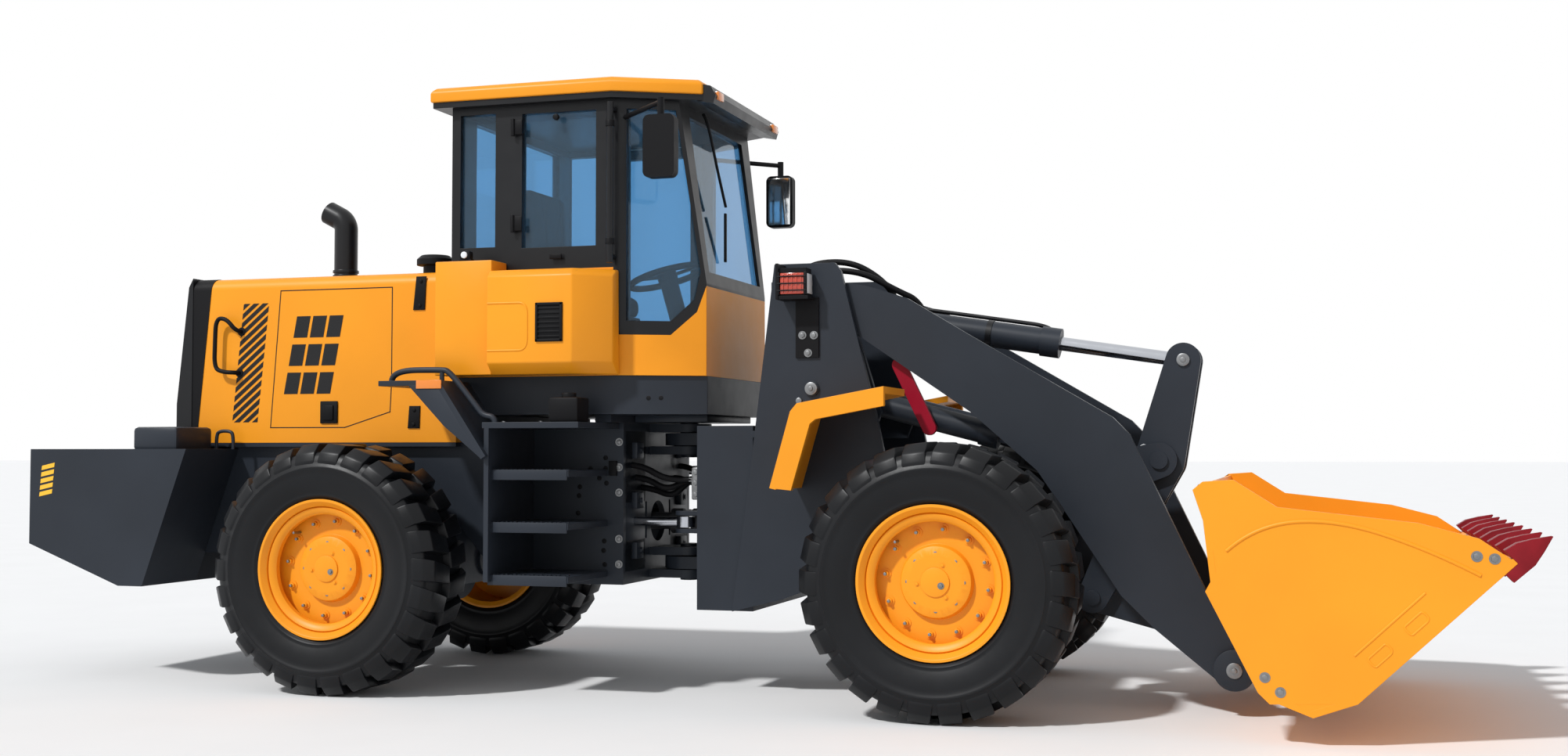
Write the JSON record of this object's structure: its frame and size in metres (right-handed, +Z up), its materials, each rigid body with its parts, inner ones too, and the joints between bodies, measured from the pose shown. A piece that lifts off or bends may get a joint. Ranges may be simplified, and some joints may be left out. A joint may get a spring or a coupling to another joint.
{
  "type": "wheel loader",
  "caption": "Articulated wheel loader with a glazed cab, engine hood, counterweight, lifting boom with Z-bar linkage, hydraulic cylinders and a toothed bucket on lugged tyres.",
  "frame": {"origin": "on the ground, mid-way along the machine's length and on its centre line", "axes": "+X forward to the bucket, +Y to the driver's left, +Z up"},
  "size_m": [7.0494, 2.24, 2.884],
  "materials": {
    "frame_slate": "satin",
    "engine_iron": "rough",
    "body_yellow": "gloss",
    "cab_black": "satin",
    "black_plastic": "matte",
    "glass": "clear",
    "seat_cover": "matte",
    "lamp_red": "gloss",
    "lamp_housing": "matte",
    "strut_red": "gloss",
    "tooth_red": "satin",
    "rod_chrome": "polished",
    "tyre": "matte"
  },
  "bodies": {
    "rear_body": {"rear_frame": "frame_slate", "counterweight": "frame_slate", "rear_axle": "frame_slate", "engine": "engine_iron", "transmission": "engine_iron", "hood": "body_yellow", "rear_grille": "cab_black", "exhaust": "cab_black", "precleaner": "black_plastic", "cab_floor": "frame_slate", "cab_lower": "body_yellow", "cab_frame": "cab_black", "cab_roof": "body_yellow", "cab_visor": "cab_black", "cab_glass": "glass", "seat": "seat_cover", "steering_column": "black_plastic", "side_boxes": "body_yellow", "rear_steps": "frame_slate", "mirrors": "black_plastic", "handrails": "cab_black", "rear_lamps": "lamp_red"},
    "front_body": {"front_frame": "frame_slate", "front_axle": "frame_slate", "front_fenders": "body_yellow", "work_lamps": "lamp_housing"},
    "boom_body": {"boom": "frame_slate", "safety_strut": "strut_red"},
    "bellcrank_body": {"bellcrank": "frame_slate"},
    "link_body": {"bucket_link": "frame_slate"},
    "bucket_body": {"bucket": "body_yellow", "bucket_teeth": "tooth_red"},
    "tilt_barrel_body": {"tilt_barrel": "frame_slate"},
    "tilt_rod_body": {"tilt_rod": "rod_chrome"},
    "lift_barrel_body": {"lift_barrels": "frame_slate"},
    "lift_rod_body": {"lift_rods": "rod_chrome"},
    "steer_barrel_left_body": {"steer_barrel_left": "frame_slate"},
    "steer_rod_left_body": {"steer_rod_left": "rod_chrome"},
    "steer_barrel_right_body": {"steer_barrel_right": "frame_slate"},
    "steer_rod_right_body": {"steer_rod_right": "rod_chrome"},
    "door_body": {"door": "cab_black", "door_glass": "glass"},
    "wheel_front_left": {"rim_front_left": "body_yellow", "tyre_front_left": "tyre"},
    "wheel_front_right": {"rim_front_right": "body_yellow", "tyre_front_right": "tyre"},
    "wheel_rear_left": {"rim_rear_left": "body_yellow", "tyre_rear_left": "tyre"},
    "wheel_rear_right": {"rim_rear_right": "body_yellow", "tyre_rear_right": "tyre"}
  },
  "joints": [
    {"name": "articulation", "type": "hinge", "parent": "rear_body", "child": "front_body", "pos_m": [-0.28071, 0, 1.195], "axis": [0, 0, 1], "range_deg": [-36, 36]},
    {"name": "boom_lift", "type": "hinge", "parent": "front_body", "child": "boom_body", "pos_m": [0.52929, 0, 1.8], "axis": [0, -1, 0], "range_deg": [0, 80]},
    {"name": "bucket_tilt", "type": "hinge", "parent": "boom_body", "child": "bucket_body", "pos_m": [2.35429, 0, 0.205], "axis": [0, 1, 0], "range_deg": [0, 160]},
    {"name": "bellcrank_turn", "type": "hinge", "parent": "boom_body", "child": "bellcrank_body", "pos_m": [2.02029, 0, 1.094], "axis": [0, -1, 0], "range_deg": [0, 42.7]},
    {"name": "link_turn", "type": "hinge", "parent": "bellcrank_body", "child": "link_body", "pos_m": [1.71343, 0, 0.46484], "axis": [0, 1, 0], "range_deg": [0, 64.85]},
    {"name": "tilt_barrel_turn", "type": "hinge", "parent": "boom_body", "child": "tilt_barrel_body", "pos_m": [0.52929, 0, 1.8], "axis": [0, -1, 0], "range_deg": [-4.33, 0]},
    {"name": "tilt_rod_slide", "type": "slide", "parent": "tilt_barrel_body", "child": "tilt_rod_body", "axis": [0.9878, 0, -0.1556], "range_m": [-0.32188, 0]},
    {"name": "lift_barrel_turn", "type": "hinge", "parent": "front_body", "child": "lift_barrel_body", "pos_m": [0.49429, 0, 1.422], "axis": [0, -1, 0], "range_deg": [0, 70.18]},
    {"name": "lift_rod_slide", "type": "slide", "parent": "lift_barrel_body", "child": "lift_rod_body", "axis": [0.9676, 0, -0.2527], "range_m": [0, 0.44239]},
    {"name": "steer_barrel_left_turn", "type": "hinge", "parent": "rear_body", "child": "steer_barrel_left_body", "pos_m": [-0.88071, 0.26, 0.8], "axis": [0, 0, 1], "range_deg": [-6.25, 6.25]},
    {"name": "steer_rod_left_slide", "type": "slide", "parent": "steer_barrel_left_body", "child": "steer_rod_left_body", "axis": [0.9951, 0.0988, 0], "range_m": [-0.19572, 0.19572]},
    {"name": "steer_barrel_right_turn", "type": "hinge", "parent": "rear_body", "child": "steer_barrel_right_body", "pos_m": [-0.88071, -0.26, 0.8], "axis": [0, 0, 1], "range_deg": [-6.25, 6.25]},
    {"name": "steer_rod_right_slide", "type": "slide", "parent": "steer_barrel_right_body", "child": "steer_rod_right_body", "axis": [0.9951, -0.0988, 0], "range_m": [-0.19572, 0.19572]},
    {"name": "door_swing", "type": "hinge", "parent": "rear_body", "child": "door_body", "pos_m": [-0.94071, 0.672, 1.75], "axis": [0, 0, 1], "range_deg": [0, 85]},
    {"name": "wheel_front_left_spin", "type": "hinge", "parent": "front_body", "child": "wheel_front_left", "pos_m": [1.16929, 0.85, 0.589], "axis": [0, 1, 0], "continuous": true},
    {"name": "wheel_front_right_spin", "type": "hinge", "parent": "front_body", "child": "wheel_front_right", "pos_m": [1.16929, -0.85, 0.589], "axis": [0, 1, 0], "continuous": true},
    {"name": "wheel_rear_left_spin", "type": "hinge", "parent": "rear_body", "child": "wheel_rear_left", "pos_m": [-1.73071, 0.85, 0.589], "axis": [0, 1, 0], "continuous": true},
    {"name": "wheel_rear_right_spin", "type": "hinge", "parent": "rear_body", "child": "wheel_rear_right", "pos_m": [-1.73071, -0.85, 0.589], "axis": [0, 1, 0], "continuous": true}
  ],
  "couplings": [
    {"joint": "bellcrank_turn", "follows": "bucket_tilt", "ratio": 0.26636},
    {"joint": "link_turn", "follows": "bucket_tilt", "ratio": 0.40449},
    {"joint": "tilt_barrel_turn", "follows": "bucket_tilt", "ratio": -0.027009},
    {"joint": "tilt_rod_slide", "follows": "bucket_tilt", "m_per_rad": -0.11503},
    {"joint": "lift_barrel_turn", "follows": "boom_lift", "ratio": 0.87552},
    {"joint": "lift_rod_slide", "follows": "boom_lift", "m_per_rad": 0.31621},
    {"joint": "steer_barrel_left_turn", "follows": "articulation", "ratio": 0.17337},
    {"joint": "steer_rod_left_slide", "follows": "articulation", "m_per_rad": -0.31087},
    {"joint": "steer_barrel_right_turn", "follows": "articulation", "ratio": 0.17337},
    {"joint": "steer_rod_right_slide", "follows": "articulation", "m_per_rad": 0.31087}
  ]
}
